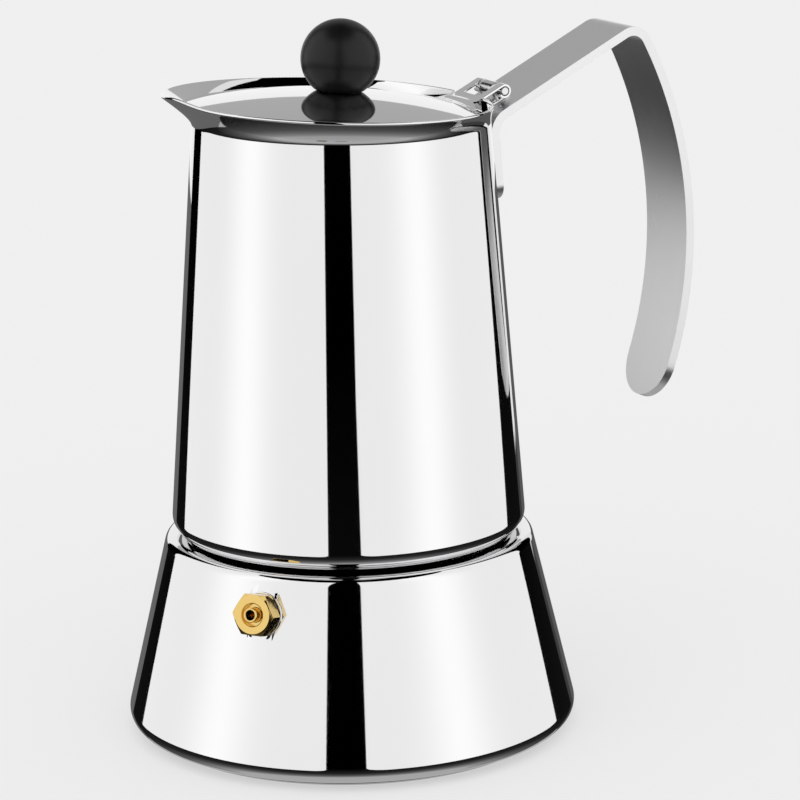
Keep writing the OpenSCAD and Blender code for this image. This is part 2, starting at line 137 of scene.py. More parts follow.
# ---- finishes: what a user would change is in each row
finishes = {
    "mirrorSteel": {"colour": (0.80, 0.80, 0.805), "rough": 0.035, "cloud": 0.03, "tint": 0.012,
                    "line": (0, 0, 0), "depth": 0.0},
    "satinSteel": {"colour": (0.76, 0.76, 0.765), "rough": 0.30, "cloud": 0.05, "tint": 0.03,
                   "line": (60, 900, 60), "depth": 0.012},
    "insideSteel": {"colour": (0.70, 0.70, 0.71), "rough": 0.19, "cloud": 0.06, "tint": 0.04,
                    "line": (40, 40, 1300), "depth": 0.03},
    "spunSteel": {"colour": (0.72, 0.72, 0.73), "rough": 0.22, "cloud": 0.05, "tint": 0.05,
                  "line": "rings", "depth": 0.05},
    "stampedSteel": {"colour": (0.70, 0.70, 0.71), "rough": 0.15, "cloud": 0.06, "tint": 0.04,
                     "line": (500, 500, 500), "depth": 0.02},
    "brass": {"colour": (0.78, 0.55, 0.19), "rough": 0.08, "cloud": 0.06, "tint": 0.08,
              "line": (900, 900, 900), "depth": 0.03},
    "aluminium": {"colour": (0.78, 0.78, 0.80), "rough": 0.38, "cloud": 0.06, "tint": 0.05,
                  "line": "rings", "depth": 0.05},
    "springSteel": {"colour": (0.62, 0.62, 0.64), "rough": 0.22, "cloud": 0.06, "tint": 0.05,
                    "line": (1500, 1500, 1500), "depth": 0.03},
}


def metal(name):
    # cloudy tint and gloss, with fine marks of the tool along one direction or in rings
    values = finishes[name]
    material, graph = newMaterial(name)
    place = graph.add("ShaderNodeTexCoord", output="Object")
    clouds = graph.add("ShaderNodeTexNoise", inputs={"Vector": place, "Scale": 38.0, "Detail": 3.0})
    fine = graph.add("ShaderNodeTexNoise", inputs={"Vector": place, "Scale": 420.0, "Detail": 2.0})
    colour = mixed(graph, clouds, shade(values["colour"], 1 - values["tint"]),
                   shade(values["colour"], 1 + values["tint"]))
    rough = values["rough"] + (clouds - 0.5) * values["cloud"] + (fine - 0.5) * values["cloud"] * 0.6
    inputs = {"Base Color": colour, "Metallic": 1.0}
    if values["line"] == "rings":
        parts = graph.add("ShaderNodeSeparateXYZ", inputs={0: place})
        y, z = graph.also(parts, 1), graph.also(parts, 2)
        radius = (parts * parts + y * y).sqrt()
        around = graph.add("ShaderNodeCombineXYZ", inputs={0: radius * 2600, 1: z * 300})
        marks = graph.add("ShaderNodeTexNoise", inputs={"Vector": around, "Scale": 1.0, "Detail": 2.0})
    elif values["depth"]:
        along = graph.add("ShaderNodeMapping", inputs={"Vector": place, "Scale": values["line"]})
        marks = graph.add("ShaderNodeTexNoise", inputs={"Vector": along, "Scale": 1.0, "Detail": 2.0})
    else:
        marks = None
    if marks:
        rough = rough + (marks - 0.5) * values["cloud"] * 1.5
        inputs["Normal"] = graph.add("ShaderNodeBump", inputs={
            "Strength": values["depth"] * 4, "Distance": 0.0001, "Height": marks})
    inputs["Roughness"] = rough.clamp(0.01, 0.9)
    shader = graph.add("ShaderNodeBsdfPrincipled", inputs=inputs)
    graph.add("ShaderNodeOutputMaterial", inputs={"Surface": shader})
    return material


def plastic(name, colour, rough, spread, grain, depth, shine=0.5):
    # moulded plastic or rubber: grain in colour, gloss and height
    material, graph = newMaterial(name)
    place = graph.add("ShaderNodeTexCoord", output="Object")
    broad = graph.add("ShaderNodeTexNoise", inputs={"Vector": place, "Scale": 60.0, "Detail": 4.0})
    grit = graph.add("ShaderNodeTexNoise", inputs={"Vector": place, "Scale": grain, "Detail": 2.0})
    tone = mixed(graph, broad, shade(colour, 1 - spread), shade(colour, 1 + spread))
    bump = graph.add("ShaderNodeBump", inputs={"Strength": depth, "Distance": 0.0001, "Height": grit})
    shader = graph.add("ShaderNodeBsdfPrincipled", inputs={
        "Base Color": tone, "Normal": bump, "Specular IOR Level": shine,
        "Roughness": (rough + (broad - 0.5) * 0.08 + (grit - 0.5) * 0.06).clamp(0.02, 1)})
    graph.add("ShaderNodeOutputMaterial", inputs={"Surface": shader})
    return material


steel = {name: metal(name) for name in finishes}
bakelite = plastic("bakelite", (0.004, 0.004, 0.0045), 0.36, 0.25, 900.0, 0.05, 0.3)
silicone = plastic("silicone", (0.74, 0.74, 0.72), 0.45, 0.03, 1400.0, 0.15)
blackRubber = plastic("blackRubber", (0.02, 0.02, 0.02), 0.6, 0.2, 1400.0, 0.2)
print("finishes made")


# ---- outlines and meshes
def unit(v):
    return v / np.linalg.norm(v)


def turn(degrees):
    return np.array([math.cos(math.radians(degrees)), math.sin(math.radians(degrees))])


def arc(centre, r, a, b, steps=8):
    return [tuple(np.array(centre) + r * turn(a + (b - a) * i / steps)) for i in range(steps + 1)]


def line(p, q, steps):
    return [tuple(np.array(p) + (np.array(q) - np.array(p)) * i / steps) for i in range(steps + 1)]


def rounded(points, radius, steps=4):
    # rounds each corner of a closed outline, apart from those on the axis and the very blunt ones
    out = []
    count = len(points)
    for i, point in enumerate(points):
        p, before, after = (np.array(q, float) for q in (point, points[i - 1], points[(i + 1) % count]))
        a, b = before - p, after - p
        la, lb = np.linalg.norm(a), np.linalg.norm(b)
        if p[0] < 1e-6 or la < 1e-9 or lb < 1e-9:
            out.append(tuple(p))
            continue
        a, b = a / la, b / lb
        half = math.acos(max(-1, min(1, float(a @ b)))) / 2
        if half > math.radians(82):
            out.append(tuple(p))
            continue
        reach = min(radius / math.tan(half), 0.45 * la, 0.45 * lb)
        r = reach * math.tan(half)
        centre = p + unit(a + b) * r / math.sin(half)
        start, stop = p + a * reach - centre, p + b * reach - centre
        a0 = math.degrees(math.atan2(start[1], start[0]))
        a1 = math.degrees(math.atan2(stop[1], stop[0]))
        a1 = a0 + (a1 - a0 + 180) % 360 - 180
        out += arc(centre, r, a0, a1, steps)
    return out


def grid(sides, outline):
    # a closed skin: outline(angle) gives the closed loop of (radius, height) at that angle, in degrees
    loops = np.array([outline(360 * i / sides) for i in range(sides)], float)
    first = loops[0]
    area = np.sum(first[:, 0] * np.roll(first[:, 1], -1) - np.roll(first[:, 0], -1) * first[:, 1])
    if area < 0:
        loops = loops[:, ::-1]
    angles = np.radians(360 * np.arange(sides) / sides)
    p = np.stack([loops[..., 0] * np.cos(angles)[:, None],
                  loops[..., 0] * np.sin(angles)[:, None], loops[..., 1]], -1)
    step = np.roll(p, -1, 1) - p
    length2 = np.sum(step ** 2, -1, keepdims=True) ** 0.5
    along = step * length2
    along = along + np.roll(along, 1, 1)
    around = np.roll(p, -1, 0) - np.roll(p, 1, 0)
    onAxis = loops[..., 0] < 1e-6
    tangent = np.stack([-np.sin(angles), np.cos(angles), 0 * angles], -1)[:, None]
    around = np.where(onAxis[..., None], tangent, around)
    normals = np.cross(around, along)
    normals /= np.maximum(np.linalg.norm(normals, axis=-1, keepdims=True), 1e-12)
    rows = p.shape[1]
    index = np.zeros((sides, rows), int)
    verts, vertNormals = [], []
    for j in range(rows):
        if onAxis[:, j].all():
            index[:, j] = len(verts)
            verts.append(p[0, j])
            vertNormals.append((0, 0, math.copysign(1, normals[0, j, 2])))
        else:
            index[:, j] = range(len(verts), len(verts) + sides)
            verts += list(p[:, j])
            vertNormals += list(normals[:, j])
    faces = []
    for j in range(rows):
        k = (j + 1) % rows
        if onAxis[0, j] and onAxis[0, k]:
            continue
        for i in range(sides):
            n = (i + 1) % sides
            face = [index[i, j], index[n, j], index[n, k], index[i, k]]
            faces.append([v for at, v in enumerate(face) if v not in face[:at]])
    return np.array(verts), faces, np.array(vertNormals)


def makeMesh(name, verts, faces, normals=None, place=None):
    mesh = bpy.data.meshes.new(name)
    mesh.from_pydata([tuple(v) for v in np.array(verts) * mm], [], faces)
    mesh.polygons.foreach_set("use_smooth", [True] * len(mesh.polygons))
    if normals is not None:
        mesh.normals_split_custom_set_from_vertices([tuple(n) for n in normals])
    if place is not None:
        mesh.transform(Matrix.Translation(place.translation * mm) @ place.to_3x3().to_4x4())
    mesh.update()
    return mesh


def turned(name, outline, sides=192, place=None):
    shape = outline if callable(outline) else lambda angle: outline
    return makeMesh(name, *grid(sides, shape), place=place)


def box(name, low, high):
    verts = [(x, y, z) for x in (low[0], high[0]) for y in (low[1], high[1]) for z in (low[2], high[2])]
    faces = [(0, 1, 3, 2), (4, 6, 7, 5), (0, 4, 5, 1), (2, 3, 7, 6), (0, 2, 6, 4), (1, 5, 7, 3)]
    return makeMesh(name, verts, faces)


def settled(obj):
    # the evaluated object as a plain mesh, with its modifiers gone
    graph = bpy.context.evaluated_depsgraph_get()
    graph.update()
    mesh = bpy.data.meshes.new_from_object(obj.evaluated_get(graph))
    obj.modifiers.clear()
    obj.data = mesh
    return obj


def plain(name, mesh):
    obj = bpy.data.objects.new(name, mesh)
    scene.collection.objects.link(obj)
    return obj


def piece(name, mesh, body, nodes, materials):
    obj = plain(name, mesh)
    mesh.materials.clear()
    for material in materials:
        mesh.materials.append(material)
    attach(obj, body)
    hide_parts(*nodes)
    return obj


def carve(mesh, tools, name="carve"):
    # joins or cuts a turned mesh, then gives its faces back the smooth shading of the surfaces they lie on
    def samples(source):
        return [(v.co.copy(), n.vector.copy()) for v, n in zip(source.vertices, source.vertex_normals)]

    known = []
    for source in [mesh] + [tool for kind, tool in tools if kind == "UNION"]:
        corner = [None] * len(source.vertices)
        for at, loop in enumerate(source.loops):
            corner[loop.vertex_index] = source.corner_normals[at].vector.copy()
        known += [(v.co.copy(), n) for v, n in zip(source.vertices, corner) if n is not None]
    obj = plain(name, mesh)
    helpers = []
    for kind, tool in tools:
        helper = plain(name + "Tool", tool)
        modifier = obj.modifiers.new("cut", "BOOLEAN")
        modifier.operation, modifier.object, modifier.solver = kind, helper, "EXACT"
        helpers.append(helper)
    settled(obj)
    made = obj.data
    for helper in helpers:
        bpy.data.objects.remove(helper)
    bpy.data.objects.remove(obj)
    tree = kdtree.KDTree(len(known))
    for at, (place, normal) in enumerate(known):
        tree.insert(place, at)
    tree.balance()
    found = []
    for face in made.polygons:
        for vertex in face.vertices:
            best, score = face.normal, 0.72
            for place, at, distance in tree.find_n(made.vertices[vertex].co, 6):
                match = known[at][1].dot(face.normal) - distance * 40
                if distance < 0.004 and match > score:
                    best, score = known[at][1], match
            found.append(best)
    made.polygons.foreach_set("use_smooth", [True] * len(made.polygons))
    made.normals_split_custom_set(found)
    return made


def softened(obj, width, segments=2, angle=35, thickness=0.0, offset=-1.0):
    # gives a sheet its thickness, and takes the sharpness off its edges
    if thickness:
        solid = obj.modifiers.new("sheet", "SOLIDIFY")
        solid.thickness, solid.offset, solid.use_even_offset = thickness * mm, offset, True
    bevel = obj.modifiers.new("edges", "BEVEL")
    bevel.width, bevel.segments, bevel.limit_method = width * mm, segments, "ANGLE"
    bevel.angle_limit = math.radians(angle)
    bevel.harden_normals = True
    return settled(obj)


def geometryTree(name, sockets):
    tree = bpy.data.node_groups.new(name, "GeometryNodeTree")
    tree.interface.new_socket("Geometry", in_out="OUTPUT", socket_type="NodeSocketGeometry")
    for label, kind in sockets:
        tree.interface.new_socket(label, in_out="INPUT", socket_type="NodeSocket" + kind)
    graph = Graph(tree)
    entry = graph.add("NodeGroupInput")
    return graph, {label: graph.also(entry, label) for label, kind in sockets}


def closeTree(graph, geometry):
    real = graph.add("GeometryNodeRealizeInstances", inputs={"Geometry": geometry})
    smooth = graph.add("GeometryNodeSetMaterial", inputs={"Geometry": real})
    graph.add("NodeGroupOutput", inputs={0: smooth})
    return smooth.socket.node


def grown(name, graph, setMaterial, material, values, angle=30, place=None):
    # runs a geometry tree with its inputs set, and returns the closed plain mesh
    setMaterial.inputs["Material"].default_value = material
    obj = plain(name, bpy.data.meshes.new(name))
    modifier = obj.modifiers.new("nodes", "NODES")
    modifier.node_group = graph.tree
    for item in graph.tree.interface.items_tree:
        if item.in_out == "INPUT":
            modifier[item.identifier] = values[item.name]
    settled(obj)
    mesh = obj.data
    bpy.data.objects.remove(obj)
    work = bmesh.new()
    work.from_mesh(mesh)
    bmesh.ops.remove_doubles(work, verts=work.verts, dist=1e-6)
    bmesh.ops.recalc_face_normals(work, faces=work.faces)
    work.to_mesh(mesh)
    work.free()
    if place is not None:
        mesh.transform(Matrix.Translation(place.translation * mm) @ place.to_3x3().to_4x4())
    mesh.polygons.foreach_set("use_smooth", [True] * len(mesh.polygons))
    mesh.set_sharp_from_angle(angle=math.radians(angle))
    return mesh


# ---- boiler
boiler = {"footR": 55.0, "footRound": 3.8, "footLift": 1.4, "shoulderR": 45.1, "shoulderH": 47.02,
          "shoulderRound": 2.6, "sheet": 0.8, "neckR": 35.0, "capR": 49.9, "floorUnder": 3.4,
          "bossR": 5.25, "bossProud": 0.25, "boreR": 3.3}
footC = np.array([boiler["footR"] - boiler["footRound"], boiler["footLift"] + boiler["footRound"]])
toShoulder = np.array([boiler["shoulderR"], boiler["shoulderH"]]) - footC
boilerLean = math.degrees(math.atan2(toShoulder[1], toShoulder[0])
                          - math.acos(boiler["footRound"] / np.linalg.norm(toShoulder)))
shoulderC = np.array([boiler["shoulderR"], boiler["shoulderH"]]) - boiler["shoulderRound"] * turn(boilerLean)
partingH = shoulderC[1] + boiler["shoulderRound"]

valve = {"height": 40.0, "azimuth": 217.5, "acrossFlats": 9.5, "hexFoot": 0.85, "hexTop": 4.85,
         "shankR": 3.2, "shank": 8.5, "chamberR": 2.65, "guideT": 1.2, "recess": 1.6, "pinR": 1.75,
         "pinProud": 1.0, "pinBore": 0.66, "chamferSlope": 0.5826, "chamferInset": 0.3}
valveWall = footC[0] + (boiler["footRound"] - (valve["height"] - footC[1])
                        * math.sin(math.radians(boilerLean))) / math.cos(math.radians(boilerLean))
atValve = (Matrix.Rotation(math.radians(valve["azimuth"]), 4, "Z")
           @ Matrix.Translation((valveWall, 0, valve["height"]))
           @ Matrix.Rotation(math.radians(90 - boilerLean), 4, "Y"))


def boilerOutline():
    b, t = boiler, boiler["sheet"]
    floorTop = b["floorUnder"] + t
    inner = b["footRound"] - t
    floorA = -math.degrees(math.asin((footC[1] - floorTop) / inner))
    low, high = footC + b["footRound"] * turn(boilerLean), shoulderC + b["shoulderRound"] * turn(boilerLean)
    lowIn, highIn = footC + inner * turn(boilerLean), shoulderC + (b["shoulderRound"] - t) * turn(boilerLean)
    return ([(0, b["floorUnder"]), (b["capR"] - 1, b["floorUnder"]), (b["capR"] + 0.1, b["floorUnder"] - 0.3),
             (b["capR"] + 0.1, b["footLift"] + 0.5), (b["capR"] + 0.25, b["footLift"] + 0.15),
             (b["capR"] + 0.6, b["footLift"])]
            + arc(footC, b["footRound"], -90, boilerLean, 18) + line(low, high, 12)[1:]
            + arc(shoulderC, b["shoulderRound"], boilerLean, 90, 14)[1:]
            + [(b["neckR"] + 0.2, partingH), (b["neckR"], partingH - 0.2), (b["neckR"], partingH - t)]
            + arc(shoulderC, b["shoulderRound"] - t, 90, boilerLean, 10) + line(highIn, lowIn, 12)[1:]
            + arc(footC, inner, boilerLean, floorA, 10)[1:] + [(footC[0] - 3, floorTop), (0, floorTop)])


bossOutline = rounded([(0, -0.5), (boiler["bossR"], -0.5), (boiler["bossR"], boiler["bossProud"]),
                       (0, boiler["bossProud"])], 0.18, 4)
boreOutline = [(0, -4), (boiler["boreR"], -4), (boiler["boreR"], 4), (0, 4)]
boilerMesh = carve(turned("boilerShell", boilerOutline(), 288), [
    ("UNION", turned("boss", bossOutline, 96, atValve)),
    ("DIFFERENCE", turned("bore", boreOutline, 96, atValve))])
boilerPiece = piece("boilerShell", boilerMesh, "boiler", ["boiler_shell"],
                    [steel["mirrorSteel"], steel["insideSteel"]])


def paintInside(obj, isInside):
    # the second finish goes on the faces that isInside picks, by their middle and normal in millimetres
    for face in obj.data.polygons:
        if isInside(face.center / mm, face.normal):
            face.material_index = 1


paintInside(boilerPiece, lambda c, n: n.x * c.x + n.y * c.y < -0.1 * c.xy.length and 3.5 < c.z < partingH - 1
            or (c.z < 4.4 and c.xy.length < 49))

baseCap = {"r": 49.9, "top": 3.3, "sheet": 0.6, "edge": 0.5, "stepR": 40.0, "step": 0.25}
capOutline = rounded([(0, 0.25), (baseCap["stepR"] - 2, 0.25), (baseCap["stepR"], 0),
                      (baseCap["r"] - baseCap["edge"], 0), (baseCap["r"], baseCap["edge"]),
                      (baseCap["r"], baseCap["top"]), (baseCap["r"] - baseCap["sheet"], baseCap["top"]),
                      (baseCap["r"] - baseCap["sheet"], baseCap["sheet"]), (0, baseCap["sheet"])], 0.3)
piece("baseCap", turned("baseCap", capOutline, 192), "boiler", ["base_cap"], [steel["spunSteel"]])


# ---- rolled thread: one tree for the boiler's neck and the collector's skirt
def threadTree():
    graph, given = geometryTree("rolledThread", [
        ("Radius", "Float"), ("Depth", "Float"), ("Pitch", "Float"), ("Foot", "Float"), ("Height", "Float"),
        ("Wall", "Float"), ("Inward", "Float"), ("Around", "Int"), ("Rows", "Int")])
    flat = graph.add("GeometryNodeMeshGrid", inputs={
        "Size X": 1.0, "Size Y": 1.0, "Vertices X": given["Around"], "Vertices Y": given["Rows"]})
    place = graph.add("ShaderNodeSeparateXYZ", inputs={0: graph.add("GeometryNodeInputPosition")})
    u, v = place + 0.5, graph.also(place, 1) + 0.5
    rise = 1 - ((v * 2 - 1) * (v * 2 - 1)).sqrt()
    inner = (v > 0.5001) * (v < 0.9999)
    angle = u * (2 * math.pi)
    height = given["Foot"] + rise * given["Height"]
    wave = 0.5 + 0.5 * (2 * math.pi * height / given["Pitch"] - angle).cos()
    fade = (rise * 6).clamp(0, 1) * ((1 - rise) * 6).clamp(0, 1)
    ridge = wave * fade * (1 - given["Inward"]) + (wave - 1) * fade * given["Inward"]
    radius = given["Radius"] + ridge * given["Depth"] - inner * given["Wall"]
    where = graph.add("ShaderNodeCombineXYZ", inputs={
        0: radius * angle.cos(), 1: radius * angle.sin(), 2: height})
    bent = graph.add("GeometryNodeSetPosition", inputs={"Geometry": flat, "Position": where})
    closed = graph.add("GeometryNodeMergeByDistance", inputs={"Geometry": bent, "Distance": 1e-6})
    return graph, closeTree(graph, closed)


screw = {"neckR": 35.0, "skirtR": 36.0, "depth": 0.7, "pitch": 3.2, "wall": 1.2, "around": 193, "rows": 101}
threadGraph, threadMaterial = threadTree()


def threaded(name, radius, foot, top, inward, body, node):
    mesh = grown(name, threadGraph, threadMaterial, steel["insideSteel"], {
        "Radius": radius * mm, "Depth": screw["depth"] * mm, "Pitch": screw["pitch"] * mm, "Foot": foot * mm,
        "Height": (top - foot) * mm, "Wall": screw["wall"] * mm * (-1 if inward else 1),
        "Inward": float(inward), "Around": screw["around"], "Rows": screw["rows"]}, 50)
    return piece(name, mesh, body, [node], [steel["insideSteel"]])


neckTop = partingH + 8.7
threaded("boilerNeck", screw["neckR"], partingH - 3, neckTop, False, "boiler", "boiler_neck")
footH = partingH + 0.3
seatH = neckTop + 0.8 + 0.1 + 3.4 + 0.1
threaded("collectorRing", screw["skirtR"], footH, seatH, True, "collector", "collector_ring")
print("boiler and screw joint made")


# ---- safety valve
def hexOutline(angle):
    v = valve
    inset = v["acrossFlats"] / 2 - v["chamferInset"]
    reach = v["acrossFlats"] / 2 / math.cos(math.radians((angle + 30) % 60 - 30))
    edge = v["hexTop"] - (reach - inset) * v["chamferSlope"]
    guideTop = v["hexTop"] - v["recess"]
    chamberTop = guideTop - v["guideT"]
    hole = v["pinR"] + 0.05
    return [(v["shankR"], -v["shank"]), (v["shankR"], v["hexFoot"]), (reach - 0.25, v["hexFoot"]),
            (reach, v["hexFoot"] + 0.15), (reach, edge), (inset, v["hexTop"]),
            (v["chamberR"] + 0.2, v["hexTop"]), (v["chamberR"], v["hexTop"] - 0.2), (v["chamberR"], guideTop),
            (hole, guideTop), (hole, chamberTop), (v["chamberR"], chamberTop), (v["chamberR"], -v["shank"])]


def edged(name, outline, sides, place, width, angle=25):
    # a turned mesh whose corners are eased by a bevel
    verts, faces, _ = grid(sides, outline if callable(outline) else lambda a: outline)
    obj = plain(name, makeMesh(name, verts, faces, place=place))
    mesh = softened(obj, width, 2, angle).data
    bpy.data.objects.remove(obj)
    return mesh


piece("valveBody", edged("valveBody", hexOutline, 120, atValve, 0.07), "boiler", ["valve_body"],
      [steel["brass"]])
pinFoot = -valve["shank"] + 1.3
pinTop = valve["hexTop"] + valve["pinProud"]
pinBore = valve["pinR"] * valve["pinBore"]
pinOutline = rounded([(0, pinFoot), (2.55, pinFoot), (2.55, pinFoot + 0.9), (valve["pinR"], pinFoot + 0.9),
                      (valve["pinR"], pinTop), (pinBore, pinTop), (pinBore, pinFoot + 1.9),
                      (0, pinFoot + 1.9)], 0.2)
piece("valvePin", turned("valvePin", pinOutline, 96, atValve), "valve_pin", ["valve_pin"], [steel["brass"]])


def springTree():
    graph, given = geometryTree("coilSpring", [
        ("Radius", "Float"), ("Wire", "Float"), ("Height", "Float"), ("Turns", "Float"), ("Foot", "Vector")])
    coil = graph.add("GeometryNodeCurveSpiral", inputs={
        "Resolution": 40, "Rotations": given["Turns"], "Start Radius": given["Radius"],
        "End Radius": given["Radius"], "Height": given["Height"]})
    wire = graph.add("GeometryNodeCurvePrimitiveCircle", inputs={"Resolution": 10, "Radius": given["Wire"]})
    tube = graph.add("GeometryNodeCurveToMesh", inputs={
        "Curve": coil, "Profile Curve": wire, "Fill Caps": True})
    moved = graph.add("GeometryNodeTransform", inputs={"Geometry": tube, "Translation": given["Foot"]})
    return graph, closeTree(graph, moved)


spring = {"r": 2.2, "wire": 0.2, "turns": 6.0, "foot": -5.9, "height": 7.6}
springGraph, springMaterial = springTree()
springMesh = grown("valveSpring", springGraph, springMaterial, steel["springSteel"], {
    "Radius": spring["r"] * mm, "Wire": spring["wire"] * mm, "Height": spring["height"] * mm,
    "Turns": spring["turns"], "Foot": (0, 0, spring["foot"] * mm)}, 60, atValve)
piece("valveSpring", springMesh, "boiler", ["valve_spring"], [steel["springSteel"]])
print("safety valve made")


# ---- perforated plates: one tree for the funnel's plate and the upper filter
def plateTree():
    graph, given = geometryTree("perforatedPlate", [
        ("Radius", "Float"), ("Reach", "Float"), ("Hole", "Float"), ("Rings", "Float"), ("Count", "Int"),
        ("Sheet", "Float"), ("Place", "Vector")])
    points = graph.add("GeometryNodePoints", inputs={"Count": given["Count"]})
    at = graph.add("GeometryNodeInputIndex")
    ring = (((1 + at * (4 / 3)).sqrt() - 1) * 0.5 - 0.0001).ceil()
    turnPart = (at - 3 * ring * (ring - 1) - 1) / ring.clamp(1, 99) / 6
    angle = turnPart * (2 * math.pi)
    radius = given["Reach"] * ring / given["Rings"]
    where = graph.add("ShaderNodeCombineXYZ", inputs={0: radius * angle.cos(), 1: radius * angle.sin()})
    placed = graph.add("GeometryNodeSetPosition", inputs={"Geometry": points, "Position": where})
    hole = graph.add("GeometryNodeCurvePrimitiveCircle", inputs={"Resolution": 20, "Radius": given["Hole"]})
    holes = graph.add("GeometryNodeInstanceOnPoints", inputs={"Points": placed, "Instance": hole})
    edge = graph.add("GeometryNodeCurvePrimitiveCircle", inputs={
        "Resolution": 160, "Radius": given["Radius"]})
    joined = graph.add("GeometryNodeJoinGeometry", inputs={"Geometry": edge})
    graph.tree.links.new(holes.socket, joined.socket.node.inputs["Geometry"])
    curves = graph.add("GeometryNodeRealizeInstances", inputs={"Geometry": joined})
    face = graph.add("GeometryNodeFillCurve", inputs={"Curve": curves})
    raised = graph.add("GeometryNodeExtrudeMesh", {"mode": "FACES"}, {
        "Mesh": face, "Offset Scale": given["Sheet"], "Individual": False})
    both = graph.add("GeometryNodeJoinGeometry", inputs={"Geometry": raised})
    graph.tree.links.new(graph.add("GeometryNodeFlipFaces", inputs={"Mesh": face}).socket,
                         both.socket.node.inputs["Geometry"])
    closed = graph.add("GeometryNodeMergeByDistance", inputs={"Geometry": both, "Distance": 1e-6})
    moved = graph.add("GeometryNodeTransform", inputs={"Geometry": closed, "Translation": given["Place"]})
    return graph, closeTree(graph, moved)


plates = {"rings": 5, "hole": 1.0, "sheet": 0.6}
plateGraph, plateMaterial = plateTree()


def perforated(name, radius, reach, height, body, node):
    rings = plates["rings"]
    mesh = grown(name, plateGraph, plateMaterial, steel["stampedSteel"], {
        "Radius": radius * mm, "Reach": reach * mm, "Hole": plates["hole"] * mm, "Rings": float(rings),
        "Count": 1 + 3 * rings * (rings + 1), "Sheet": plates["sheet"] * mm,
        "Place": (0, 0, height * mm)}, 40)
    return piece(name, mesh, body, [node], [steel["stampedSteel"]])


# ---- funnel, gasket and upper filter
funnel = {"basketR": 33.0, "flangeR": 34.5, "sheet": 0.8, "ledge": 2.5, "stemR": 4.2, "tube": 0.6,
          "depth": 19.0, "cone": 6.5, "stemFoot": 7.5}
basketUnder = neckTop - funnel["depth"]
flangeTop = neckTop + funnel["sheet"]


def cupOutline():
    f = funnel
    r, t, s, coneFoot = f["basketR"], f["sheet"], f["stemR"], basketUnder - f["cone"]
    return rounded([(s, coneFoot), (s + 2, coneFoot + 1), (r - f["ledge"], basketUnder), (r, basketUnder),
                    (r, neckTop), (f["flangeR"], neckTop), (f["flangeR"], flangeTop), (r - t, flangeTop),
                    (r - t, basketUnder + t), (r - f["ledge"] - 0.3, basketUnder + t),
                    (s + 1.8, coneFoot + 1 + t), (s, coneFoot + t)], 0.35, 5)


piece("funnelCup", turned("funnelCup", cupOutline(), 160), "funnel", ["funnel_cup"], [steel["insideSteel"]])
stemTop = basketUnder - funnel["cone"] + 2
stemOutline = rounded([(funnel["stemR"], funnel["stemFoot"]), (funnel["stemR"], stemTop),
                       (funnel["stemR"] - funnel["tube"], stemTop),
                       (funnel["stemR"] - funnel["tube"], funnel["stemFoot"])], 0.2)
piece("funnelStem", turned("funnelStem", stemOutline, 96), "funnel", ["funnel_stem"], [steel["insideSteel"]])
perforated("funnelPlate", funnel["basketR"] - 0.9, funnel["basketR"] - 5.5, basketUnder + 0.8, "funnel",
           "funnel_plate")

gasket = {"outR": 35.7, "inR": 28.5, "t": 3.4, "filterR": 31.5, "foot": flangeTop + 0.1}
filterH = gasket["foot"] + gasket["t"] - 0.8
gasketOutline = rounded([(gasket["inR"], gasket["foot"]), (gasket["outR"], gasket["foot"]),
                         (gasket["outR"], gasket["foot"] + gasket["t"]),
                         (gasket["filterR"] + 0.3, gasket["foot"] + gasket["t"]),
                         (gasket["filterR"] + 0.3, filterH - 0.1), (gasket["inR"], filterH - 0.1)], 0.35)
piece("gasket", turned("gasket", gasketOutline, 160), "gasket", ["gasket"], [silicone])
perforated("upperFilter", gasket["filterR"], gasket["inR"] - 3, filterH, "upper_filter", "upper_filter")
print("funnel, gasket and filters made")


# ---- collector
collector = {"footR": 43.45, "round": 4.5, "height": 98.2, "throatR": 35.9, "rimH": 5.3, "rimRise": 3.66,
             "reach": 6.8, "lip": 1.2, "sheet": 0.8, "flangeR": 37.25, "flareRows": 20, "coneRows": 26,
             "riseCurve": 1.54, "reachCurve": 1.65, "flareCurve": 1.4, "flareFrom": 0.25,
             "lipSpread": 14.0, "backInset": 0.3}
throatH = footH + collector["height"]
collectorLean = math.degrees(math.atan((collector["footR"] - collector["throatR"]) / collector["height"]))
leanTan = math.tan(math.radians(collectorLean))
rimBackH = throatH + collector["rimH"]
rimBackR = collector["throatR"] - collector["rimH"] * leanTan - collector["backInset"]
collectorC = np.array([collector["footR"] - collector["round"] * leanTan
                       - collector["round"] / math.cos(math.radians(collectorLean)),
                       footH + collector["round"]])


